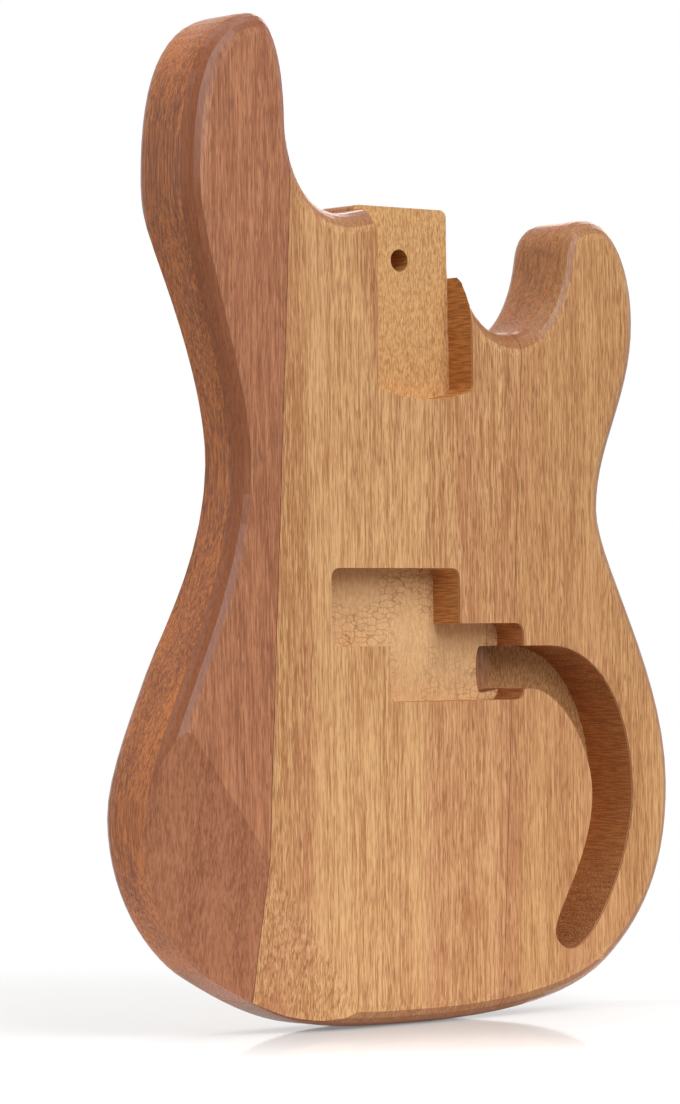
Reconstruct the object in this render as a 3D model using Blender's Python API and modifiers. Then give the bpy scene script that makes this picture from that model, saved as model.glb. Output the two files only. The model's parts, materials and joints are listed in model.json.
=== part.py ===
"""Bare body of an electric bass guitar, standing on its lower end.

Three planks are glued edge to edge. The glued blank is cut to the body outline with rounded
edges, shaped with an arm bevel in front and a belly cut behind, and routed from the front for
the neck, the two halves of the pickup and the controls.

Metres. +Z points up the neck, -Y out of the front face, +X to the treble side. The lowest point
of the outline is at Z = 0, and the thickness is centred on Y = 0.
"""

from collections import namedtuple
from math import acos, atan2, cos, degrees, hypot, radians, sin, sqrt

import bmesh
import bpy
from mathutils import Matrix, Vector

# Blank
THICKNESS = 0.045
EDGE_RADIUS = 0.011
BODY_LENGTH = 0.5025
LOWER_BOUT_WIDTH = 0.349

# Outline heights and widths, measured from the lowest point and from the middle of the lower bout
BASS_CORNER_X = -0.130
BASS_CORNER_Z = 0.028
BASS_BOUT_Z = 0.108
BASS_WAIST_X = -0.1195
BASS_WAIST_Z = 0.280
BASS_SHOULDER_X = -0.1497
BASS_SHOULDER_Z = 0.418
BASS_HORN_X = -0.104
HORN_INSIDE_X = -0.083
HORN_INSIDE_Z = 0.450
BASS_CUTAWAY_X = -0.049
BASS_CUTAWAY_Z = 0.4065
TREBLE_CUTAWAY_X = 0.0645
TREBLE_CUTAWAY_Z = 0.3495
TREBLE_HORN_INSIDE_X = 0.0985
TREBLE_HORN_INSIDE_Z = 0.391
TREBLE_HORN_X = 0.122
TREBLE_HORN_Z = 0.4115
TREBLE_SHOULDER_X = 0.153
TREBLE_SHOULDER_Z = 0.359
TREBLE_WAIST_X = 0.126
TREBLE_WAIST_Z = 0.260
TREBLE_BOUT_Z = 0.117
TREBLE_CORNER_X = 0.1275
TREBLE_CORNER_Z = 0.0235

# Neck pocket
NECK_X = 0.0023
POCKET_WIDTH = 0.064
POCKET_MOUTH_WIDTH = 0.0628
POCKET_MOUTH_Z = 0.4127
POCKET_END_Z = 0.3145
POCKET_END_RADIUS = 0.110
POCKET_CORNER_RADIUS = 0.005
POCKET_DEPTH = 0.0185
TONGUE_CORNER_RADIUS = 0.004
TONGUE_MARGIN = 0.0003
TONGUE_LENGTH = 0.080

# Round hole in the pocket floor
HOLE_DIAMETER = 0.0115
HOLE_DEPTH = 0.018
HOLE_FROM_MOUTH = 0.027

# Split pickup cavity: two overlapping halves, the treble one nearer the lower end
PICKUP_Z = 0.1956
PICKUP_STEP = 0.0281
PICKUP_HEIGHT = 0.0392
BASS_HALF_LENGTH = 0.0855
BASS_HALF_END_X = -0.0620
TREBLE_HALF_LENGTH = 0.0912
TREBLE_HALF_END_X = 0.0673
PICKUP_CORNER_RADIUS = 0.005
PICKUP_DEPTH = 0.0205

# Control rout: a bent channel that leaves the treble pickup half
CONTROL_START_Z = 0.1895
CONTROL_NECK_WIDTH = 0.022
CONTROL_WIDTH = 0.0294
CONTROL_OUTER_X = 0.1438
CONTROL_BEND_Z = 0.1125
CONTROL_END_X = 0.0990
CONTROL_END_Z = 0.0324
CONTROL_END_RADIUS = 0.0115
CONTROL_DEPTH = 0.0325
CONTROL_OVERLAP = 0.012

# Arm bevel on the front: a flat cut that starts along a slanted line
ARM_LINE_TOP = (-0.1590, 0.1600)
ARM_LINE_LOW = (-0.0530, 0.0200)
ARM_ANGLE = radians(12.7)

# Belly cut on the back: a scoop, deepest where it leaves the bass waist
BELLY_Z = 0.292
BELLY_DEPTH = 0.018
BELLY_REACH = 0.075
BELLY_RADIUS = 0.340

CONTOUR_EDGE_RADIUS = 0.003
CONTOUR_EDGE_ANGLE = radians(35)

# Glue joints
JOINT_TILT = radians(3.05)
BASS_JOINT_X = -0.1080
TREBLE_JOINT_X = 0.0498
GLUE_GAP = 0.0003

# Fineness and reach of the cutters
OUTLINE_STEPS = 14
ROUNDOVER_STEPS = 4
CORNER_STEPS = 6
SCOOP_STEPS = 192
REACH = 0.030
FAR = 0.6

# Colours from the photograph
DARK_WOOD = (0.31, 0.13, 0.055)
GOLD_WOOD = (0.54, 0.29, 0.115)
TREBLE_WOOD = (0.50, 0.26, 0.10)

Knot = namedtuple("Knot", "x z heading before after")


def body_outline():
    """Knots of the outline, clockwise seen from the front: up the bass side, down the treble side."""
    half = LOWER_BOUT_WIDTH / 2
    tongue_x = NECK_X + POCKET_MOUTH_WIDTH / 2 - TONGUE_MARGIN
    return [
        Knot(0, 0, 180, 0.044, 0.067),
        Knot(BASS_CORNER_X, BASS_CORNER_Z, 151, 0.055, 0.024),
        Knot(-half, BASS_BOUT_Z, 90, 0.039, 0.040),
        Knot(BASS_WAIST_X, BASS_WAIST_Z, 90, 0.066, 0.040),
        Knot(BASS_SHOULDER_X, BASS_SHOULDER_Z, 90, 0.035, 0.050),
        Knot(BASS_HORN_X, BODY_LENGTH, 6, 0.033, 0.014),
        Knot(HORN_INSIDE_X, HORN_INSIDE_Z, -90, 0.028, 0.018),
        Knot(BASS_CUTAWAY_X, BASS_CUTAWAY_Z, 0, 0.024, 0.012),
        Knot(NECK_X, POCKET_MOUTH_Z, 0, 0.028, 0.016),
        Knot(tongue_x, POCKET_MOUTH_Z - 0.028, -90, 0.014, 0.016),
        Knot(TREBLE_CUTAWAY_X, TREBLE_CUTAWAY_Z, 0, 0.022, 0.016),
        Knot(TREBLE_HORN_INSIDE_X, TREBLE_HORN_INSIDE_Z, 81, 0.024, 0.0125),
        Knot(TREBLE_HORN_X, TREBLE_HORN_Z, 1, 0.016, 0.0175),
        Knot(TREBLE_SHOULDER_X, TREBLE_SHOULDER_Z, -90, 0.030, 0.040),
        Knot(TREBLE_WAIST_X, TREBLE_WAIST_Z, -90, 0.033, 0.027),
        Knot(half, TREBLE_BOUT_Z, -90, 0.059, 0.046),
        Knot(TREBLE_CORNER_X, TREBLE_CORNER_Z, -144, 0.0345, 0.033),
    ]


def control_outline():
    """Knots of the control rout, from the pickup along its outer wall and back along its inner one."""
    start_x = TREBLE_HALF_END_X - CONTROL_OVERLAP
    inner_z = CONTROL_START_Z - CONTROL_NECK_WIDTH
    inner_x = CONTROL_OUTER_X - CONTROL_WIDTH
    return [
        Knot(start_x, CONTROL_START_Z, 0, 0.004, 0.020),
        Knot(TREBLE_HALF_END_X + 0.018, CONTROL_START_Z, 0, 0.010, 0.036),
        Knot(CONTROL_OUTER_X, CONTROL_BEND_Z, -90, 0.043, 0.034),
        Knot(CONTROL_END_X, CONTROL_END_Z, 180, 0.016, 0.0075),
        Knot(CONTROL_END_X - CONTROL_END_RADIUS, CONTROL_END_Z + CONTROL_END_RADIUS, 78, 0.006, 0.012),
        Knot(inner_x, CONTROL_BEND_Z, 90, 0.030, 0.026),
        Knot(TREBLE_HALF_END_X + 0.004, inner_z, 180, 0.020, 0.003),
        Knot(start_x, inner_z - 0.002, 180, 0.003, 0.004),
    ]


def clear_scene():
    for thing in list(bpy.data.objects):
        bpy.data.objects.remove(thing)


def new_collection(name):
    collection = bpy.data.collections.new(name)
    bpy.context.scene.collection.children.link(collection)
    return collection


def wood(name, colour, roughness):
    material = bpy.data.materials.new(name)
    material.use_nodes = True
    shader = material.node_tree.nodes["Principled BSDF"]
    shader.inputs["Base Color"].default_value = (*colour, 1)
    shader.inputs["Roughness"].default_value = roughness
    shader.inputs["Metallic"].default_value = 0
    return material


def upright_curve(name, front, back, rounding=0.0):
    """A flat curve drawn in X and Z, and thickened from the depth front to the depth back."""
    curve = bpy.data.curves.new(name, "CURVE")
    curve.dimensions = "2D"
    curve.fill_mode = "BOTH"
    curve.extrude = (back - front) / 2 - rounding
    curve.bevel_depth = rounding
    curve.bevel_resolution = ROUNDOVER_STEPS
    curve.offset = -rounding
    thing = bpy.data.objects.new(name, curve)
    middle = (front + back) / 2 - THICKNESS / 2
    thing.matrix_world = Matrix.Translation((0, middle, 0)) @ Matrix.Rotation(radians(90), 4, "X")
    return thing


def add_knots(curve, knots, steps):
    spline = curve.splines.new("BEZIER")
    spline.bezier_points.add(len(knots) - 1)
    spline.use_cyclic_u = True
    spline.resolution_u = steps
    for point, knot in zip(spline.bezier_points, knots):
        place = Vector((knot.x, knot.z, 0))
        along = Vector((cos(radians(knot.heading)), sin(radians(knot.heading)), 0))
        point.handle_left_type = "FREE"
        point.handle_right_type = "FREE"
        point.co = place
        point.handle_left = place - along * knot.before
        point.handle_right = place + along * knot.after


def add_polygon(curve, points):
    spline = curve.splines.new("POLY")
    spline.points.add(len(points) - 1)
    spline.use_cyclic_u = True
    for point, (x, z) in zip(spline.points, points):
        point.co = (x, z, 0, 1)


def rounded(corners, radius):
    """The corners, each one replaced by an arc that touches both of its sides."""
    points = []
    for i, corner in enumerate(corners):
        here = Vector(corner)
        before = (Vector(corners[i - 1]) - here).normalized()
        after = (Vector(corners[(i + 1) % len(corners)]) - here).normalized()
        half_angle = acos(max(-1, min(1, before.dot(after)))) / 2
        centre = here + (before + after).normalized() * radius / sin(half_angle)
        start = here + before * radius / (sin(half_angle) / cos(half_angle)) - centre
        stop = here + after * radius / (sin(half_angle) / cos(half_angle)) - centre
        turn = atan2(start.x * stop.y - start.y * stop.x, start.dot(stop))
        for step in range(CORNER_STEPS + 1):
            angle = turn * step / CORNER_STEPS
            points.append(
                (
                    centre.x + start.x * cos(angle) - start.y * sin(angle),
                    centre.y + start.x * sin(angle) + start.y * cos(angle),
                )
            )
    return points


def mesh_from(thing, collection):
    """The object's evaluated shape as a welded mesh object in the collection."""
    bpy.context.scene.collection.objects.link(thing)
    bpy.context.view_layer.update()
    graph = bpy.context.evaluated_depsgraph_get()
    mesh = bpy.data.meshes.new_from_object(thing.evaluated_get(graph))
    name = thing.name
    place = thing.matrix_world.copy()
    bpy.data.objects.remove(thing)
    made = bpy.data.objects.new(name, mesh)
    made.matrix_world = place
    shape = bmesh.new()
    shape.from_mesh(mesh)
    bmesh.ops.remove_doubles(shape, verts=shape.verts, dist=0.000005)
    bmesh.ops.dissolve_limit(shape, angle_limit=radians(0.5), verts=shape.verts, edges=shape.edges)
    bmesh.ops.recalc_face_normals(shape, faces=shape.faces)
    shape.to_mesh(mesh)
    shape.free()
    collection.objects.link(made)
    return made


def as_cutter(thing):
    thing.hide_render = True
    thing.display_type = "WIRE"
    return thing


def boolean(thing, other, operation):
    modifier = thing.modifiers.new(operation.title() + " " + other.name, "BOOLEAN")
    modifier.operation = operation
    modifier.solver = "EXACT"
    modifier.object = other


def prism(name, points, front, back, cutters):
    """A straight-sided solid on the polygon, between the two depths."""
    thing = upright_curve(name, front, back)
    add_polygon(thing.data, points)
    return as_cutter(mesh_from(thing, cutters))


def box(name, size, matrix, cutters):
    shape = bmesh.new()
    bmesh.ops.create_cube(shape, size=1)
    bmesh.ops.scale(shape, verts=shape.verts, vec=size)
    mesh = bpy.data.meshes.new(name)
    shape.to_mesh(mesh)
    shape.free()
    made = bpy.data.objects.new(name, mesh)
    made.matrix_world = matrix
    cutters.objects.link(made)
    return as_cutter(made)


def cylinder(name, radius, length, steps, matrix, cutters):
    shape = bmesh.new()
    bmesh.ops.create_cone(
        shape, cap_ends=True, segments=steps, radius1=radius, radius2=radius, depth=length
    )
    mesh = bpy.data.meshes.new(name)
    shape.to_mesh(mesh)
    shape.free()
    made = bpy.data.objects.new(name, mesh)
    made.matrix_world = matrix
    cutters.objects.link(made)
    return as_cutter(made)


def blank(cutters):
    """The glued blank, cut to the outline and rounded along both faces."""
    thing = upright_curve("blank", 0, THICKNESS, EDGE_RADIUS)
    add_knots(thing.data, body_outline(), OUTLINE_STEPS)
    return as_cutter(mesh_from(thing, cutters))


def tongue(cutters):
    """The square-edged block under the neck, up to the mouth of the pocket."""
    low = POCKET_MOUTH_Z - TONGUE_LENGTH
    left = NECK_X - POCKET_MOUTH_WIDTH / 2 - TONGUE_MARGIN
    right = NECK_X + POCKET_MOUTH_WIDTH / 2 - TONGUE_MARGIN
    corners = [(left, low), (right, low), (right, POCKET_MOUTH_Z), (left, POCKET_MOUTH_Z)]
    return prism(
        "tongue", rounded(corners, TONGUE_CORNER_RADIUS), EDGE_RADIUS, THICKNESS - 0.001, cutters
    )


def pocket(cutters):
    """The neck pocket: straight walls that close in a little to the mouth, and a bowed end."""
    half = POCKET_WIDTH / 2
    past = POCKET_MOUTH_Z + REACH
    narrowing = (POCKET_WIDTH - POCKET_MOUTH_WIDTH) / 2
    half_past = half - narrowing * (past - POCKET_END_Z) / (POCKET_MOUTH_Z - POCKET_END_Z)
    rise = POCKET_END_RADIUS - sqrt(POCKET_END_RADIUS**2 - (half - POCKET_CORNER_RADIUS) ** 2)
    centre_z = POCKET_END_Z + POCKET_END_RADIUS
    points = [(NECK_X + half_past, past), (NECK_X - half_past, past)]
    side = POCKET_END_Z + rise + POCKET_CORNER_RADIUS
    for step in range(CORNER_STEPS + 1):
        angle = radians(90) * step / CORNER_STEPS
        points.append(
            (
                NECK_X - half + POCKET_CORNER_RADIUS * (1 - cos(angle)),
                side - POCKET_CORNER_RADIUS * sin(angle),
            )
        )
    count = 2 * CORNER_STEPS
    for step in range(1, count):
        x = (half - POCKET_CORNER_RADIUS) * (2 * step / count - 1)
        points.append((NECK_X + x, centre_z - sqrt(POCKET_END_RADIUS**2 - x**2)))
    for step in range(CORNER_STEPS + 1):
        angle = radians(90) * step / CORNER_STEPS
        points.append(
            (
                NECK_X + half - POCKET_CORNER_RADIUS * (1 - sin(angle)),
                side - POCKET_CORNER_RADIUS * cos(angle),
            )
        )
    return prism("neck_pocket", points, -REACH, POCKET_DEPTH, cutters)


def pickup_half(name, left, middle_z, length, cutters):
    low = middle_z - PICKUP_HEIGHT / 2
    high = middle_z + PICKUP_HEIGHT / 2
    corners = [(left, low), (left + length, low), (left + length, high), (left, high)]
    return prism(name, rounded(corners, PICKUP_CORNER_RADIUS), -REACH, PICKUP_DEPTH, cutters)


def control_rout(cutters):
    thing = upright_curve("control_rout", -REACH, CONTROL_DEPTH)
    add_knots(thing.data, control_outline(), OUTLINE_STEPS)
    return as_cutter(mesh_from(thing, cutters))


def pocket_hole(cutters):
    place = Matrix.Translation(
        (NECK_X - 0.001, POCKET_DEPTH + HOLE_DEPTH / 2 - THICKNESS / 2, POCKET_MOUTH_Z - HOLE_FROM_MOUTH)
    )
    turn = Matrix.Rotation(radians(90), 4, "X")
    length = HOLE_DEPTH + 2 * GLUE_GAP
    return cylinder("pocket_hole", HOLE_DIAMETER / 2, length, 24, place @ turn, cutters)


def arm_cutter(cutters):
    """A block whose lower face passes through the slanted line and falls away to the bass corner."""
    run = Vector((ARM_LINE_LOW[0] - ARM_LINE_TOP[0], 0, ARM_LINE_LOW[1] - ARM_LINE_TOP[1])).normalized()
    out = Vector((run.z, 0, -run.x))
    down = (out * cos(ARM_ANGLE) + Vector((0, sin(ARM_ANGLE), 0))).normalized()
    up = run.cross(down).normalized()
    if up.y > 0:
        up = -up
    start = Vector((ARM_LINE_TOP[0], -THICKNESS / 2, ARM_LINE_TOP[1]))
    middle = start + run * 0.1 + down * FAR / 4 + up * FAR / 8
    frame = Matrix((run, down, up)).transposed().to_4x4()
    if frame.determinant() < 0:
        frame = Matrix((-run, down, up)).transposed().to_4x4()
    matrix = Matrix.Translation(middle) @ frame
    return box("arm_bevel", (FAR, FAR / 2, FAR / 4), matrix, cutters)


def belly_cutter(cutters):
    """A wide roller whose lowest line slopes from the belly depth at the waist up to the back face."""
    slope = atan2(BELLY_DEPTH, BELLY_REACH)
    edge = Vector((BASS_WAIST_X, THICKNESS / 2 - BELLY_DEPTH, BELLY_Z))
    along = Vector((cos(slope), sin(slope), 0))
    away = Vector((-sin(slope), cos(slope), 0))
    centre = edge + away * BELLY_RADIUS
    turn = Matrix((away, Vector((0, 0, 1)), along)).transposed().to_4x4()
    if turn.determinant() < 0:
        turn = Matrix((away, Vector((0, 0, -1)), along)).transposed().to_4x4()
    return cylinder("belly_cut", BELLY_RADIUS, FAR, SCOOP_STEPS, Matrix.Translation(centre) @ turn, cutters)


def plank_slab(name, left, right, cutters):
    """A tilted slab between two glue joints, which are given where they cross Z = 0."""
    turn = Matrix.Rotation(JOINT_TILT, 4, "Y")
    across = Vector((cos(JOINT_TILT), 0, -sin(JOINT_TILT)))
    width = (right - left) * cos(JOINT_TILT)
    middle = Vector((left, 0, 0)) + across * width / 2
    matrix = Matrix.Translation(middle) @ turn
    return box(name, (width, FAR, 4 * FAR), matrix, cutters)


def carved_body(cutters):
    """The whole body in one mesh, before it is parted along the glue joints."""
    body = blank(cutters)
    boolean(body, arm_cutter(cutters), "DIFFERENCE")
    boolean(body, belly_cutter(cutters), "DIFFERENCE")
    soften = body.modifiers.new("Contour edges", "BEVEL")
    soften.width = CONTOUR_EDGE_RADIUS
    soften.segments = 2
    soften.limit_method = "ANGLE"
    soften.angle_limit = CONTOUR_EDGE_ANGLE
    boolean(body, tongue(cutters), "UNION")
    boolean(body, pocket(cutters), "DIFFERENCE")
    boolean(body, pocket_hole(cutters), "DIFFERENCE")
    bass_left = BASS_HALF_END_X
    treble_left = TREBLE_HALF_END_X - TREBLE_HALF_LENGTH
    upper = PICKUP_Z + PICKUP_STEP / 2
    lower = PICKUP_Z - PICKUP_STEP / 2
    boolean(body, pickup_half("bass_pickup_half", bass_left, upper, BASS_HALF_LENGTH, cutters), "DIFFERENCE")
    boolean(body, pickup_half("treble_pickup_half", treble_left, lower, TREBLE_HALF_LENGTH, cutters), "DIFFERENCE")
    boolean(body, control_rout(cutters), "DIFFERENCE")
    split = body.modifiers.new("Split many-sided faces", "TRIANGULATE")
    split.min_vertices = 5
    return body


def plank(name, body, slab, material, collection):
    graph = bpy.context.evaluated_depsgraph_get()
    mesh = bpy.data.meshes.new_from_object(body.evaluated_get(graph))
    mesh.name = name
    mesh.materials.clear()
    mesh.materials.append(material)
    mesh.polygons.foreach_set("use_smooth", [True] * len(mesh.polygons))
    mesh.set_sharp_from_angle(angle=radians(30))
    made = bpy.data.objects.new(name, mesh)
    made.matrix_world = body.matrix_world
    collection.objects.link(made)
    boolean(made, slab, "INTERSECT")
    return made


def main():
    clear_scene()
    collection = new_collection("bass_guitar_body")
    cutters = new_collection("cutters")
    body = carved_body(cutters)
    bpy.context.view_layer.update()
    half_gap = GLUE_GAP / 2
    planks = [
        ("bass_plank", -FAR, BASS_JOINT_X - half_gap, wood("bass_plank_wood", DARK_WOOD, 0.42)),
        (
            "centre_plank",
            BASS_JOINT_X + half_gap,
            TREBLE_JOINT_X - half_gap,
            wood("centre_plank_wood", GOLD_WOOD, 0.42),
        ),
        ("treble_plank", TREBLE_JOINT_X + half_gap, FAR, wood("treble_plank_wood", TREBLE_WOOD, 0.42)),
    ]
    for name, left, right, material in planks:
        slab = plank_slab(name + "_slab", left, right, cutters)
        plank(name, body, slab, material, collection)


main()
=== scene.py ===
"""Looks of the bare bass guitar body: its woods, its routed cavities, the studio and the camera."""

import json
from math import cos, radians, sin

import bpy
from mathutils import Matrix, Vector


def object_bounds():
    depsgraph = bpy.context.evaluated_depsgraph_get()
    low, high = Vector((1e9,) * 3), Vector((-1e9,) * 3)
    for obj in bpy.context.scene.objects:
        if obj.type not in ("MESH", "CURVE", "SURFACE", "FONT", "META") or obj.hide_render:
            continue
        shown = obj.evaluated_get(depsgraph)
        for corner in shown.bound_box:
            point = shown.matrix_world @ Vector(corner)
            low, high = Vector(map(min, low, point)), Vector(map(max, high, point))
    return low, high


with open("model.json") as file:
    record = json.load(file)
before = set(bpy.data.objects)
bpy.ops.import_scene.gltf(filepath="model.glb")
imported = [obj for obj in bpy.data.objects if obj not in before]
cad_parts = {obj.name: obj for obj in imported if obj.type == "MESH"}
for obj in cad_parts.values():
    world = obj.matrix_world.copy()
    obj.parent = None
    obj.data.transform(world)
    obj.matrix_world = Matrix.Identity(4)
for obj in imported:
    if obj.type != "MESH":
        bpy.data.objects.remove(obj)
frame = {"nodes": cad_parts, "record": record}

bl_info = {
    "name": "Bass guitar body finish",
    "version": (1, 0, 0),
    "blender": (4, 5, 0),
    "location": "3D View > Sidebar > Body finish",
    "description": "Wood finishes, studio and camera for a bare bass guitar body",
    "category": "Material",
}

CAD_LOW, CAD_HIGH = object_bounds()
FRONT_Y = CAD_LOW.y
OPENINGS = {opening["name"]: opening["box_m"] for opening in frame["record"]["physics"]["openings"]}

# The photograph: its size, and where the reference point of the front face lies in it
PHOTO_WIDTH = 680
PHOTO_HEIGHT = 1104
AXIS_PIXEL = (340, 575)
REFERENCE_PIXEL = (425, 635)
REFERENCE_POINT = Vector((-0.0005, FRONT_Y, 0.1955))
FOCAL_PIXELS = 4600
PIXELS_PER_METRE = 1985
SENSOR_HEIGHT = 36
CLIP_START = 0.01
CLIP_END = 100

# Floor near the body: its own white, and the glow that makes up the rest of the background's white
FLOOR_WHITE = 0.8
FLOOR_GLOW = 0.37
# Distances from the body over which the floor turns from shadowed white to plain glow
FLOOR_REACH = (0.2, 0.62)
# The mirror image fades between these two places along the camera's forward direction
MIRROR_REACH = (-0.3, -0.03)
MIRROR_ROUGHNESS = 0.06
FLOOR_HEIGHT = -0.0002

# Lamps round the body's middle: metres to the camera's right, up and away from it, size and colour
LAMPS = {
    "key": ((0.9, 0.9, -1.1), (1.1, 1.4), (1, 1, 1)),
    "fill": ((-1.5, 0.5, -0.7), (0.9, 1.8), (1, 0.97, 0.93)),
    "back": ((0.5, 0.8, 1.4), (1.2, 1.2), (1, 1, 1)),
    "top": ((0, 1.5, -0.1), (1.4, 1), (1, 1, 1)),
}

# How far each cavity's raw wood reaches past the box that the record states for its opening
POCKET_MARGIN = (0.0022, 0.0025, 0.008)
PICKUP_MARGIN = (0.003, 0.0025, 0.003)
CONTROL_MARGIN = (0.014, 0.0025, 0.014)
HOLE_MARGIN = (0.004, 0.002, 0.004)
REGION_SOFTNESS = 0.0005
# Depths under the front face at which raw wood starts, and at which a cavity's pale rim ends
FACE_SKIN = 0.0007
RIM_DEPTH = 0.0016

# Patterns in the wood: cells per metre across, through and along the plank, detail, roughness
WANDER = ((14, 14, 3), 2, 0.5)
BANDS = ((48, 60, 1.6), 3, 0.55)
STREAKS = ((760, 760, 26), 3, 0.65)
FIBRES = ((2000, 2000, 110), 2, 0.6)
FLECKS = ((1500, 1500, 130), 1, 0.4)
PATCHES = ((11, 11, 5), 2, 0.5)
BLUSHES = ((26, 26, 2.5), 2, 0.5)
SPECKLE = ((1300, 1300, 330), 3, 0.75)
CUTTER_PASSES = ((90, 90, 1500), 1, 0.5)
CHIPS = ((1700, 1700, 900), 1, 0.5)
TOOL_MARKS = ((900, 900, 240), 3, 0.7)
NO_TURN = (0, 0, 0)
TOOL_TURN = (0, 0.5, 0)
TOOL_DISTORTION = 0.6

# How strongly a pattern moves the tone from the light wood to the deep wood
BAND_TONE = 1.5
STREAK_TONE = 3
FIBRE_TONE = 2.4
PATCH_TONE = 0.5

# Values of a pattern over which it sets in, and the shares at both ends where these are not 0 and 1
PORE_SPAN = (0.53, 0.68)
PORES_IN_BANDS = (0.35, 0.62, 0.45, 1)
BLUSH_SPAN = (0.48, 0.72)
SPECKLE_SPAN = (0.35, 0.68)
CUT_END_SPECKLE = (0.3, 0.6)
PASS_SPAN = (0.4, 0.6, 0, 0.55)
CHIP_SPAN = (0.56, 0.64)
GLOSS_SPAN = (0.3, 0.7)

# How flat on the face a surface lies, from 0 to 1, where the painted shade of the sides, the
# painted dark reflection of the rounded edges or the wall tone changes
SIDE_SPAN = (0.1, 0.6)
ROUNDING_SPAN = (0.15, 0.5)
ROUNDING_FADE = 0.038
WALL_SPAN = (0.3, 0.8)
# How squarely a surface cuts the grain, from 0 to 1, where the end grain sets in
END_SPAN = (0.45, 0.98)
CUT_END_SPAN = (0.25, 0.8)

# Raw wood: shares of its pores, torn fibres and cracks, and of the chips, with their fade in height
RAW_PORE_SHARE = 0.5
TORN_SHARE = 0.35
CRACK_SHARE = 0.55
CHIP_SHARE = 0.6
CHIP_FADE = 0.02

# Cracks: their cells, line width and unevenness, how far they stray, and where they lie
CRACK_CELLS = (150, 150, 330)
CRACK_WIDTH = 0.09
CRACK_UNEVENNESS = 0.9
CRACK_STRAY = (0.009, 0.009, 0.004)
CRACK_STRAY_SCALE = 160
CRACK_ZONE_SCALE = 38
CRACK_ZONE_DETAIL = 2
CRACK_ZONE_SPAN = (0.42, 0.6)

# Gloss: how far streaks change the roughness, what raw wood adds to it, and the satin coat
STREAK_GLOSS = (-0.05, 0.08)
RAW_ROUGHNESS = 0.3
COAT_ROUGHNESS = 0.13
SPECULAR_LEVEL = 0.25

# Relief: heights of the patterns against each other, and the bump that they share
PORE_HEIGHT = -0.5
STREAK_HEIGHT = 0.35
FIBRE_HEIGHT = 0.15
TEAR_HEIGHT = 3
CRACK_HEIGHT = -2
BUMP_STRENGTH = 0.22
BUMP_DISTANCE = 0.0004


def linear(colour):
    """A colour in scene values, from display values between 0 and 1."""
    values = []
    for share in colour:
        values.append(share / 12.92 if share <= 0.04045 else ((share + 0.055) / 1.055) ** 2.4)
    return (*values, 1)


class NodeMaker:
    """Short ways to add shader nodes to one tree and link them."""

    def __init__(self, tree):
        self.tree = tree

    def add(self, kind, **settings):
        """A new node with the given settings."""
        node = self.tree.nodes.new(kind)
        for name, value in settings.items():
            setattr(node, name, value)
        return node

    def put(self, socket, value):
        """Link another socket to this one, or set it to a plain value."""
        if isinstance(value, bpy.types.NodeSocket):
            self.tree.links.new(value, socket)
        else:
            socket.default_value = value

    def math(self, operation, first, second=0.0, third=0.0, clamp=False):
        """The result of one Math node."""
        node = self.add("ShaderNodeMath", operation=operation, use_clamp=clamp)
        for socket, value in zip(node.inputs, (first, second, third)):
            self.put(socket, value)
        return node.outputs[0]

    def times(self, first, second):
        """The product of two values."""
        return self.math("MULTIPLY", first, second)

    def centred(self, value):
        """A noise's value, moved so that it lies round zero."""
        return self.math("SUBTRACT", value, 0.5)

    def vector(self, operation, first, second):
        """The result of one Vector Math node with two inputs."""
        node = self.add("ShaderNodeVectorMath", operation=operation)
        self.put(node.inputs[0], first)
        self.put(node.inputs[1], second)
        return node.outputs["Value"] if operation == "DOT_PRODUCT" else node.outputs["Vector"]

    def parts(self, vector):
        """The X, Y and Z of a vector."""
        node = self.add("ShaderNodeSeparateXYZ")
        self.put(node.inputs[0], vector)
        return (node.outputs["X"], node.outputs["Y"], node.outputs["Z"])

    def span(self, value, low, high, to_low=0.0, to_high=1.0):
        """The value, smoothly rescaled from one span to another and held at its ends."""
        node = self.add("ShaderNodeMapRange", interpolation_type="SMOOTHSTEP", clamp=True)
        for socket, number in zip(node.inputs, (value, low, high, to_low, to_high)):
            self.put(socket, number)
        return node.outputs["Result"]

    def noise(self, place, scale, detail=2.0, roughness=0.5, distortion=0.0):
        """Noise between 0 and 1."""
        node = self.add("ShaderNodeTexNoise")
        self.put(node.inputs["Vector"], place)
        self.put(node.inputs["Scale"], scale)
        self.put(node.inputs["Detail"], detail)
        self.put(node.inputs["Roughness"], roughness)
        self.put(node.inputs["Distortion"], distortion)
        return node.outputs["Fac"]

    def mix(self, amount, first, second):
        """The first colour, mixed with that amount of the second."""
        node = self.add("ShaderNodeMix", data_type="RGBA")
        self.put(node.inputs["Factor"], amount)
        self.put(node.inputs[6], first)
        self.put(node.inputs[7], second)
        return node.outputs[2]

    def stretched(self, place, turn, scale):
        """Coordinates turned, then scaled along each axis."""
        node = self.add("ShaderNodeMapping", vector_type="POINT")
        self.put(node.inputs["Vector"], place)
        self.put(node.inputs["Rotation"], turn)
        self.put(node.inputs["Scale"], scale)
        return node.outputs["Vector"]


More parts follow.
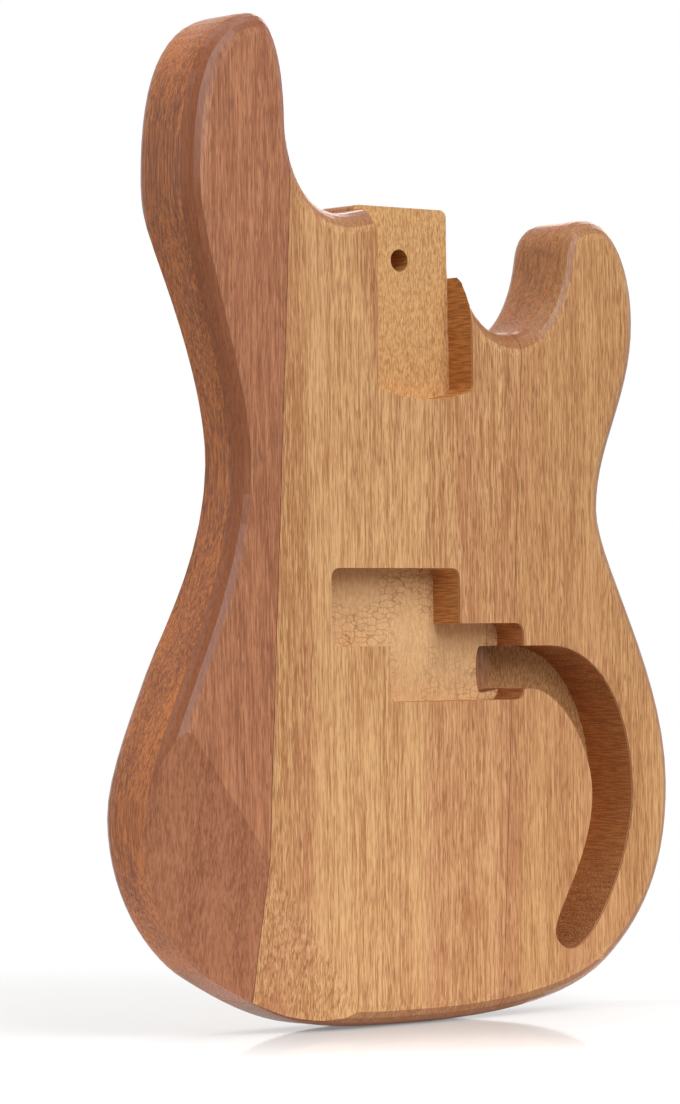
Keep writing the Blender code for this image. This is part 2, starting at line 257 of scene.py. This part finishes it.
class WoodMaker(NodeMaker):
    """The nodes of one plank's wood under its satin coat."""

    def __init__(self, tree, look):
        super().__init__(tree)
        self.look = look
        self.turn = (0.0, -look.grain_slope, 0.0)
        self.place = self.add("ShaderNodeTexCoord").outputs["Object"]
        normal = self.parts(self.add("ShaderNodeNewGeometry").outputs["Normal"])
        self.flatness = self.math("ABSOLUTE", normal[1])
        self.across = self.math("ABSOLUTE", normal[2])
        self.flowing = self.wandering_place()
        self.bands = self.pattern(BANDS, self.flowing)
        self.streaks = self.pattern(STREAKS, self.flowing)
        self.fibres = self.pattern(FIBRES, self.flowing)
        self.pores = self.pore_flecks()
        self.tone = self.grain_tone()

    def pattern(self, kind, place, turn=None, distortion=0.0):
        """Noise of one kind, along the grain unless it has a turn of its own."""
        scale, detail, roughness = kind
        turned = self.stretched(place, self.turn if turn is None else turn, scale)
        return self.noise(turned, 1.0, detail, roughness, distortion)

    def wandering_place(self):
        """The surface's coordinates, moved sideways so that the grain wanders."""
        shift = self.times(self.centred(self.pattern(WANDER, self.place)), self.look.wander)
        moved = self.add("ShaderNodeCombineXYZ")
        self.put(moved.inputs["X"], shift)
        self.put(moved.inputs["Y"], shift)
        return self.vector("ADD", self.place, moved.outputs["Vector"])

    def pore_flecks(self):
        """Short dark flecks along the grain, thickest in the dark bands."""
        flecks = self.span(self.pattern(FLECKS, self.flowing), *PORE_SPAN)
        return self.times(flecks, self.span(self.bands, *PORES_IN_BANDS))

    def grain_tone(self):
        """0 in the lightest wood and 1 in the deepest."""
        tone = self.math("MULTIPLY_ADD", self.centred(self.bands), BAND_TONE, 0.5)
        tone = self.math("MULTIPLY_ADD", self.centred(self.streaks), STREAK_TONE, tone)
        tone = self.math("MULTIPLY_ADD", self.centred(self.fibres), FIBRE_TONE, tone)
        patches = self.centred(self.pattern(PATCHES, self.place))
        return self.math("MULTIPLY_ADD", patches, PATCH_TONE, tone, clamp=True)

    def colour(self):
        """Streaked wood with pores and blushes, deeper on its end grain, with painted shade on its
        sides and a painted dark reflection on its rounded edges.
        """
        look = self.look
        colour = self.mix(self.tone, linear(look.light), linear(look.deep))
        blush = self.span(self.pattern(BLUSHES, self.flowing), *BLUSH_SPAN, 0.0, look.blush_share)
        colour = self.mix(blush, colour, linear(look.blush))
        colour = self.mix(self.times(self.pores, look.pore_strength), colour, linear(look.pore))
        end_grain = self.span(self.across, *END_SPAN, 0.0, look.end_darkening)
        colour = self.mix(end_grain, colour, linear(look.end))
        # Painted shade: the sides take a deeper, more saturated colour than the face
        side = self.mix(self.tone, linear(look.side), linear(look.edge))
        colour = self.mix(self.span(self.flatness, *SIDE_SPAN, look.side_tone, 0.0), colour, side)
        # Painted reflection: a dark band on the rounded edges next to the face
        fade_start = look.edge_reach - ROUNDING_FADE
        off_face = self.span(self.flatness, fade_start, look.edge_reach, 1.0, 0.0)
        rounding = self.times(self.span(self.flatness, *ROUNDING_SPAN), off_face)
        return self.mix(self.times(rounding, look.edge_tone), colour, linear(look.edge))

    def roughness(self):
        """Roughness under the coat, which follows the streaks."""
        smoothest, roughest = (self.look.roughness + change for change in STREAK_GLOSS)
        return self.span(self.streaks, *GLOSS_SPAN, smoothest, roughest)

    def coat(self):
        """Weight of the satin coat."""
        return self.look.coat

    def height(self):
        """Relief of the grain: sunk pores, with streaks and fibres that stand up a little."""
        height = self.times(self.streaks, STREAK_HEIGHT)
        height = self.math("MULTIPLY_ADD", self.pores, PORE_HEIGHT, height)
        return self.math("ADD", height, self.times(self.fibres, FIBRE_HEIGHT))


class RoutedWoodMaker(WoodMaker):
    """The nodes of a plank with cavities: coated wood outside, and raw wood inside them."""

    def __init__(self, tree, look, cavities):
        super().__init__(tree, look)
        self.axes = self.parts(self.place)
        self.bare = self.cavity(cavities)
        self.torn = self.cavity({name: m for name, m in cavities.items() if "pickup" in name})
        self.cracks = self.crack_lines()
        self.wall = self.span(self.flatness, *WALL_SPAN, 1.0, 0.0)

    def region(self, low, high):
        """1 inside the box and 0 outside it, with soft edges."""
        inside = 1.0
        for axis, start, end in zip(self.axes, low, high):
            rising = self.span(axis, start - REGION_SOFTNESS, start)
            falling = self.span(axis, end, end + REGION_SOFTNESS, 1.0, 0.0)
            inside = self.times(inside, self.times(rising, falling))
        return inside

    def cavity(self, margins):
        """1 on the walls and floors of the openings that margins names, below the front face."""
        found = 0.0
        for name, (aside, behind, above) in margins.items():
            low, high = OPENINGS[name]
            start = (low[0] - aside, FRONT_Y + FACE_SKIN, low[2] - above)
            end = (high[0] + aside, high[1] + behind, high[2] + above)
            found = self.math("MAXIMUM", found, self.region(start, end))
        return found

    def crack_lines(self):
        """Fine cracks in the torn floor of the pickup cavity."""
        ragged = self.add("ShaderNodeTexNoise")
        self.put(ragged.inputs["Vector"], self.place)
        self.put(ragged.inputs["Scale"], CRACK_STRAY_SCALE)
        strayed = self.vector("MULTIPLY", ragged.outputs["Color"], CRACK_STRAY)
        strayed = self.vector("ADD", strayed, self.place)
        cells = self.add("ShaderNodeTexVoronoi", feature="DISTANCE_TO_EDGE")
        self.put(cells.inputs["Vector"], self.stretched(strayed, self.turn, CRACK_CELLS))
        self.put(cells.inputs["Scale"], 1.0)
        self.put(cells.inputs["Randomness"], CRACK_UNEVENNESS)
        lines = self.span(cells.outputs["Distance"], 0.0, CRACK_WIDTH, 1.0, 0.0)
        zone = self.noise(self.place, CRACK_ZONE_SCALE, CRACK_ZONE_DETAIL)
        return self.times(self.times(lines, self.span(zone, *CRACK_ZONE_SPAN)), self.torn)

    def raw_floor(self, speckle):
        """Speckled wood with open pores, paler and cracked where the cutter has torn it."""
        look = self.look
        speckled = self.span(speckle, *SPECKLE_SPAN)
        colour = self.mix(speckled, linear(look.raw_light), linear(look.raw_deep))
        colour = self.mix(self.times(self.pores, RAW_PORE_SHARE), colour, linear(look.pore))
        colour = self.mix(self.times(self.torn, TORN_SHARE), colour, linear(look.torn))
        return self.mix(self.times(self.cracks, CRACK_SHARE), colour, linear(look.pore))

    def raw_walls(self, colour, speckle):
        """The colour, changed on walls to scored wood with dark cut ends."""
        look = self.look
        colour = self.mix(self.times(self.wall, look.wall_share), colour, linear(look.wall))
        passes = self.pattern(CUTTER_PASSES, self.place, NO_TURN)
        passes = self.times(self.span(passes, *PASS_SPAN), self.wall)
        colour = self.mix(passes, colour, linear(look.pore))
        cut_ends = self.span(self.across, *CUT_END_SPAN, 0.0, look.cut_end_share)
        cut_ends = self.times(cut_ends, self.span(speckle, *CUT_END_SPECKLE))
        return self.mix(cut_ends, colour, linear(look.end))

    def raw_rim(self, colour):
        """The colour, paler on the rim under the front face and on the chips low down."""
        look = self.look
        depth = self.math("SUBTRACT", self.axes[1], FRONT_Y)
        rim = self.span(depth, FACE_SKIN, RIM_DEPTH, look.rim_share, 0.0)
        colour = self.mix(self.times(rim, self.wall), colour, linear(look.rim))
        chips = self.span(self.pattern(CHIPS, self.place), *CHIP_SPAN)
        lowest, highest = look.chips_below - CHIP_FADE, look.chips_below + CHIP_FADE
        chips = self.times(chips, self.span(self.axes[2], lowest, highest, CHIP_SHARE, 0.0))
        return self.mix(chips, colour, linear(look.rim))

    def colour(self):
        """Coated wood, and raw wood where it is bare."""
        speckle = self.pattern(SPECKLE, self.place)
        raw = self.raw_rim(self.raw_walls(self.raw_floor(speckle), speckle))
        return self.mix(self.bare, super().colour(), raw)

    def roughness(self):
        """Roughness, higher where the wood is bare."""
        added = self.times(self.bare, RAW_ROUGHNESS)
        return self.math("ADD", added, super().roughness(), clamp=True)

    def coat(self):
        """Weight of the satin coat, none where the wood is bare."""
        return self.times(self.math("SUBTRACT", 1.0, self.bare), super().coat())

    def height(self):
        """Relief of the grain, with tool marks where the wood is bare, and sunk cracks."""
        tool_marks = self.pattern(TOOL_MARKS, self.place, TOOL_TURN, TOOL_DISTORTION)
        tears = self.times(self.centred(tool_marks), self.bare)
        height = self.math("MULTIPLY_ADD", tears, TEAR_HEIGHT, super().height())
        return self.math("MULTIPLY_ADD", self.cracks, CRACK_HEIGHT, height)


def wood(node_name, look, cavities):
    """A plank's wood, bare in the cavities that are given with their margins."""
    material = bpy.data.materials.new(node_name + "_finish")
    material.use_nodes = True
    tree = material.node_tree
    shader = tree.nodes["Principled BSDF"]
    maker = RoutedWoodMaker(tree, look, cavities) if cavities else WoodMaker(tree, look)
    bump = maker.add("ShaderNodeBump")
    maker.put(bump.inputs["Strength"], BUMP_STRENGTH)
    maker.put(bump.inputs["Distance"], BUMP_DISTANCE)
    maker.put(bump.inputs["Height"], maker.height())
    maker.put(shader.inputs["Base Color"], maker.colour())
    maker.put(shader.inputs["Roughness"], maker.roughness())
    maker.put(shader.inputs["Coat Weight"], maker.coat())
    maker.put(shader.inputs["Coat Roughness"], COAT_ROUGHNESS)
    maker.put(shader.inputs["Specular IOR Level"], SPECULAR_LEVEL)
    maker.put(shader.inputs["Normal"], bump.outputs["Normal"])
    return material


def colour_setting(name, description, display):
    """A colour setting, with its default in display values from 0 to 255."""
    return bpy.props.FloatVectorProperty(
        name=name,
        description=description,
        default=[value / 255 for value in display],
        size=3,
        min=0,
        max=1,
        subtype="COLOR_GAMMA",
    )


def share_setting(name, description, default):
    """A setting from 0, none, to 1, full."""
    return bpy.props.FloatProperty(
        name=name, description=description, default=default, min=0, max=1, subtype="FACTOR"
    )


def watt_setting(name, default):
    """A lamp's power."""
    return bpy.props.FloatProperty(
        name=name, description="Power in watts", default=default, min=0, unit="POWER"
    )


def plank_settings(
    light=(222, 173, 118),
    deep=(172, 114, 64),
    pore=(140, 84, 44),
    # Colours of the painted shade of the sides and of the painted dark reflection of the rounded
    # edges
    side=(184, 106, 44),
    edge=(132, 74, 32),
    end=(128, 70, 34),
    wall=(216, 152, 84),
    raw_deep=(186, 134, 82),
    grain_slope=0.0,
    pore_strength=0.7,
    # How strongly the painted shade of the sides and the painted dark reflection of the edges show,
    # and how flat a surface may be and still take the reflection
    side_tone=0.7,
    edge_tone=0.58,
    edge_reach=0.955,
    cut_end_share=0.3,
    chips_below=-1.0,
):
    """Settings of one plank's wood: golden wood, apart from the plank's own values."""
    return {
        "light": colour_setting("Light wood", "Lighter wood between the bands", light),
        "deep": colour_setting("Deep wood", "Darker wood of the bands", deep),
        "pore": colour_setting("Pores", "Short dark flecks along the grain", pore),
        "blush": colour_setting("Blushes", "Reddish stretches of the wood", (196, 128, 96)),
        # Painted shade on the sides, and a painted dark reflection on the rounded edges that also
        # gives the sides' deepest shade
        "side": colour_setting("Sides", "Deeper wood of the sides", side),
        "edge": colour_setting("Edges", "Where the coat gathers on the rounded edges", edge),
        "end": colour_setting("End grain", "Where the surface cuts across the grain", end),
        "raw_light": colour_setting("Raw wood", "Routed wood without the coat", (228, 180, 124)),
        "raw_deep": colour_setting("Raw speckle", "Darker speckle of the routed wood", raw_deep),
        "torn": colour_setting("Torn floor", "Pale wood torn by the cutter", (255, 214, 166)),
        "wall": colour_setting("Routed wall", "Standing walls of the cavities", wall),
        "rim": colour_setting("Routed rim", "Pale rim and chips of the walls", (222, 178, 134)),
        "grain_slope": bpy.props.FloatProperty(
            name="Grain slope",
            description="Turn of the grain away from upright",
            default=grain_slope,
            subtype="ANGLE",
        ),
        "wander": bpy.props.FloatProperty(
            name="Grain wander",
            description="How far the grain strays sideways",
            default=0.006,
            unit="LENGTH",
        ),
        "pore_strength": share_setting("Pore strength", "How dark the flecks are", pore_strength),
        "blush_share": share_setting("Blush share", "How strongly the blushes show", 0.24),
        # Strengths of the painted shade on the sides and of the painted dark reflection on the
        # rounded edges, and how far the reflection reaches towards the face
        "side_tone": share_setting("Side tone", "How strongly the sides deepen", side_tone),
        "edge_tone": share_setting("Edge tone", "How strongly the edges darken", edge_tone),
        "edge_reach": share_setting(
            "Edge reach", "How flat a surface may be and still darken", edge_reach
        ),
        "end_darkening": share_setting("End darkening", "How dark the end grain is", 0.75),
        "cut_end_share": share_setting(
            "Cut ends", "How dark the routed end grain is", cut_end_share
        ),
        "wall_share": share_setting("Wall share", "How strongly the walls are coloured", 0.8),
        "rim_share": share_setting("Rim share", "How strongly the pale rim shows", 0.8),
        "chips_below": bpy.props.FloatProperty(
            name="Chips below",
            description="Height under which pale chips cling to the walls",
            default=chips_below,
            unit="LENGTH",
        ),
        "roughness": share_setting("Roughness", "Roughness under the coat", 0.5),
        "coat": share_setting("Satin coat", "Strength of the coat", 0.34),
    }


class BassPlankLook(bpy.types.PropertyGroup):
    """Settings of the bass plank's dark reddish-brown wood"""

    __annotations__ = plank_settings(
        light=(192, 128, 88),
        deep=(146, 86, 52),
        pore=(112, 62, 34),
        # Painted shade of the sides and painted dark reflection of the rounded edges
        side=(206, 118, 44),
        edge=(122, 60, 20),
        end=(126, 74, 42),
        grain_slope=radians(1.6),
        pore_strength=0.6,
        # Strengths of that painted shade and painted reflection; the reflection here reaches partly
        # onto the arm bevel
        side_tone=0.8,
        edge_tone=0.72,
        edge_reach=0.993,
    )


class CentrePlankLook(bpy.types.PropertyGroup):
    """Settings of the centre plank's golden wood"""

    __annotations__ = plank_settings(grain_slope=radians(-2.4))


class TreblePlankLook(bpy.types.PropertyGroup):
    """Settings of the treble plank's golden wood"""

    __annotations__ = plank_settings(
        light=(214, 164, 108),
        deep=(172, 116, 66),
        wall=(194, 124, 68),
        raw_deep=(170, 112, 68),
        grain_slope=radians(3.6),
        cut_end_share=0.75,
        chips_below=0.075,
    )


class StudioLook(bpy.types.PropertyGroup):
    """Settings of the camera, the lamps, the room and the floor"""

    yaw: bpy.props.FloatProperty(
        name="Yaw",
        description="Camera's turn to the bass side",
        default=radians(40.5),
        subtype="ANGLE",
    )
    lean: bpy.props.FloatProperty(
        name="Lean",
        description="How far the body leans away from the camera",
        default=radians(1),
        subtype="ANGLE",
    )
    key: watt_setting("Key light", 22.0)
    fill: watt_setting("Fill light", 10.0)
    back: watt_setting("Back light", 11.0)
    top: watt_setting("Top light", 7.0)
    ambient: bpy.props.FloatProperty(
        name="Ambient", description="Strength of the room's light", default=0.36, min=0
    )
    mirror: share_setting("Floor gloss", "Share of the floor that mirrors the body", 0.5)
    floor_size: bpy.props.FloatProperty(
        name="Floor", description="Side of the floor", default=40.0, min=1, unit="LENGTH"
    )


class BODY_OT_bass_plank(bpy.types.Operator):
    """Give the bass plank its dark reddish-brown wood"""

    bl_idname = "body_finish.bass_plank"
    bl_label = "Bass plank"

    def execute(self, context):
        finish = wood("bass_plank", context.scene.bass_plank_look, {})
        frame["nodes"]["bass_plank"].material_slots[0].material = finish
        return {"FINISHED"}


class BODY_OT_centre_plank(bpy.types.Operator):
    """Give the centre plank its golden wood, raw in the neck pocket and the pickup cavity"""

    bl_idname = "body_finish.centre_plank"
    bl_label = "Centre plank"

    def execute(self, context):
        cavities = {
            "neck_pocket": POCKET_MARGIN,
            "pocket_floor_hole": HOLE_MARGIN,
            "bass_pickup_half": PICKUP_MARGIN,
            "treble_pickup_half": PICKUP_MARGIN,
            "treble_pickup_half_outer": PICKUP_MARGIN,
        }
        finish = wood("centre_plank", context.scene.centre_plank_look, cavities)
        frame["nodes"]["centre_plank"].material_slots[0].material = finish
        return {"FINISHED"}


class BODY_OT_treble_plank(bpy.types.Operator):
    """Give the treble plank its golden wood, raw in the control rout"""

    bl_idname = "body_finish.treble_plank"
    bl_label = "Treble plank"

    def execute(self, context):
        cavities = {name: CONTROL_MARGIN for name in OPENINGS if "control" in name}
        cavities["treble_pickup_half_outer"] = CONTROL_MARGIN
        finish = wood("treble_plank", context.scene.treble_plank_look, cavities)
        frame["nodes"]["treble_plank"].material_slots[0].material = finish
        return {"FINISHED"}


def camera_axes(yaw, lean):
    """The camera's right, down and forward, for a body that leans back by the angle lean."""
    right = Vector((cos(yaw), -sin(yaw), 0))
    forward = Vector((sin(yaw), cos(yaw), 0))
    down = Vector((0, 0, -1))
    upright = Matrix.Rotation(lean, 3, "X")
    return [upright @ axis for axis in (right, down, forward)]


def level(direction):
    """The same direction along the floor."""
    return Vector((direction.x, direction.y, 0)).normalized()


def seen_directly(maker):
    """1 for rays that look straight at the background, or by way of a gloss or a glass."""
    path = maker.add("ShaderNodeLightPath")
    either = maker.math("MAXIMUM", path.outputs["Is Camera Ray"], path.outputs["Is Glossy Ray"])
    return maker.math("MAXIMUM", either, path.outputs["Is Transmission Ray"])


def floor_material(look, forward):
    """White and softly shadowed, with a mirror image that fades towards the camera."""
    material = bpy.data.materials.new("studio_floor")
    material.use_nodes = True
    tree = material.node_tree
    tree.nodes.clear()
    maker = NodeMaker(tree)
    place = maker.add("ShaderNodeTexCoord").outputs["Object"]
    away = maker.add("ShaderNodeVectorMath", operation="LENGTH")
    maker.put(away.inputs[0], place)
    near = maker.span(away.outputs["Value"], *FLOOR_REACH, 1.0, 0.0)

    diffuse = maker.add("ShaderNodeBsdfDiffuse")
    white = maker.mix(near, (0, 0, 0, 1), (FLOOR_WHITE, FLOOR_WHITE, FLOOR_WHITE, 1))
    maker.put(diffuse.inputs["Color"], white)
    glow = maker.add("ShaderNodeEmission")
    lift = maker.math("MULTIPLY_ADD", near, FLOOR_GLOW - 1, 1.0)
    maker.put(glow.inputs["Strength"], maker.times(seen_directly(maker), lift))
    base = maker.add("ShaderNodeAddShader")
    maker.put(base.inputs[0], diffuse.outputs[0])
    maker.put(base.inputs[1], glow.outputs[0])

    mirror = maker.add("ShaderNodeBsdfGlossy")
    maker.put(mirror.inputs["Roughness"], MIRROR_ROUGHNESS)
    along = maker.vector("DOT_PRODUCT", place, forward)
    fade = maker.times(maker.span(along, *MIRROR_REACH, 0.0, look.mirror), near)
    mixed = maker.add("ShaderNodeMixShader")
    maker.put(mixed.inputs["Fac"], fade)
    maker.put(mixed.inputs[1], base.outputs[0])
    maker.put(mixed.inputs[2], mirror.outputs[0])
    output = maker.add("ShaderNodeOutputMaterial")
    maker.put(output.inputs["Surface"], mixed.outputs[0])
    return material


class BODY_OT_stage(bpy.types.Operator):
    """Add the floor, the room, the lights and the camera"""

    bl_idname = "body_finish.stage"
    bl_label = "Stage"

    def execute(self, context):
        scene = context.scene
        look = scene.studio_look
        scene.view_settings.view_transform = "Standard"
        right, down, forward = camera_axes(look.yaw, look.lean)
        self.add_camera(scene, right, down, forward)
        self.add_floor(scene, look, level(forward))
        self.add_room(scene, look)
        middle = (CAD_LOW + CAD_HIGH) / 2
        for name, ((aside, above, beyond), size, colour) in LAMPS.items():
            place = middle + level(right) * aside + Vector((0, 0, above)) + level(forward) * beyond
            self.add_lamp(scene, name, place, middle, size, getattr(look, name), colour)
        return {"FINISHED"}

    def add_camera(self, scene, right, down, forward):
        """Set the camera so that the reference point falls on its pixel of the photograph."""
        data = bpy.data.cameras.new("photo_camera")
        data.sensor_fit = "VERTICAL"
        data.sensor_height = SENSOR_HEIGHT
        data.lens = FOCAL_PIXELS / PHOTO_HEIGHT * SENSOR_HEIGHT
        data.shift_x = (PHOTO_WIDTH / 2 - AXIS_PIXEL[0]) / PHOTO_HEIGHT
        data.shift_y = (AXIS_PIXEL[1] - PHOTO_HEIGHT / 2) / PHOTO_HEIGHT
        data.clip_start = CLIP_START
        data.clip_end = CLIP_END
        distance = FOCAL_PIXELS / PIXELS_PER_METRE
        aside = (REFERENCE_PIXEL[0] - AXIS_PIXEL[0]) / FOCAL_PIXELS * distance
        below = (REFERENCE_PIXEL[1] - AXIS_PIXEL[1]) / FOCAL_PIXELS * distance
        place = REFERENCE_POINT - right * aside - down * below - forward * distance
        turn = Matrix((right, -down, -forward)).transposed().to_4x4()
        camera = bpy.data.objects.new("photo_camera", data)
        camera.matrix_world = Matrix.Translation(place) @ turn
        scene.collection.objects.link(camera)
        scene.camera = camera

    def add_floor(self, scene, look, forward):
        """Lay a square floor just under the body."""
        half = look.floor_size / 2
        corners = [(-half, -half, 0), (half, -half, 0), (half, half, 0), (-half, half, 0)]
        mesh = bpy.data.meshes.new("floor")
        mesh.from_pydata(corners, [], [(0, 1, 2, 3)])
        mesh.materials.append(floor_material(look, forward))
        floor = bpy.data.objects.new("floor", mesh)
        floor.location.z = FLOOR_HEIGHT
        scene.collection.objects.link(floor)

    def add_room(self, scene, look):
        """Surround the scene with a soft room light that the camera and the gloss see as white."""
        world = bpy.data.worlds.new("room")
        world.use_nodes = True
        scene.world = world
        maker = NodeMaker(world.node_tree)
        background = world.node_tree.nodes["Background"]
        maker.put(background.inputs["Color"], (1, 1, 1, 1))
        strength = maker.span(seen_directly(maker), 0.0, 1.0, look.ambient, 1.0)
        maker.put(background.inputs["Strength"], strength)

    def add_lamp(self, scene, name, place, target, size, power, colour):
        """Hang a rectangular lamp that points at the target."""
        data = bpy.data.lights.new(name, "AREA")
        data.shape = "RECTANGLE"
        data.size, data.size_y = size
        data.energy = power
        data.color = colour
        lamp = bpy.data.objects.new(name, data)
        lamp.location = place
        lamp.rotation_euler = (target - place).to_track_quat("-Z", "Y").to_euler()
        scene.collection.objects.link(lamp)


LOOKS = {
    "bass_plank_look": BassPlankLook,
    "centre_plank_look": CentrePlankLook,
    "treble_plank_look": TreblePlankLook,
    "studio_look": StudioLook,
}
OPERATORS = (BODY_OT_bass_plank, BODY_OT_centre_plank, BODY_OT_treble_plank, BODY_OT_stage)


class BODY_PT_finish(bpy.types.Panel):
    """Settings and a button for each plank and for the stage"""

    bl_label = "Body finish"
    bl_idname = "BODY_PT_finish"
    bl_space_type = "VIEW_3D"
    bl_region_type = "UI"
    bl_category = "Body finish"

    def draw(self, context):
        for operator, (name, group) in zip(OPERATORS, LOOKS.items()):
            box = self.layout.box()
            box.operator(operator.bl_idname)
            for setting in group.__annotations__:
                box.prop(getattr(context.scene, name), setting)


CLASSES = (*LOOKS.values(), *OPERATORS, BODY_PT_finish)


def register():
    for item in CLASSES:
        bpy.utils.register_class(item)
    for name, group in LOOKS.items():
        setattr(bpy.types.Scene, name, bpy.props.PointerProperty(type=group))


def unregister():
    for name in LOOKS:
        delattr(bpy.types.Scene, name)
    for item in reversed(CLASSES):
        bpy.utils.unregister_class(item)


def main():
    register()
    bpy.ops.body_finish.bass_plank()
    bpy.ops.body_finish.centre_plank()
    bpy.ops.body_finish.treble_plank()
    bpy.ops.body_finish.stage()


if __name__ == "__main__":
    main()
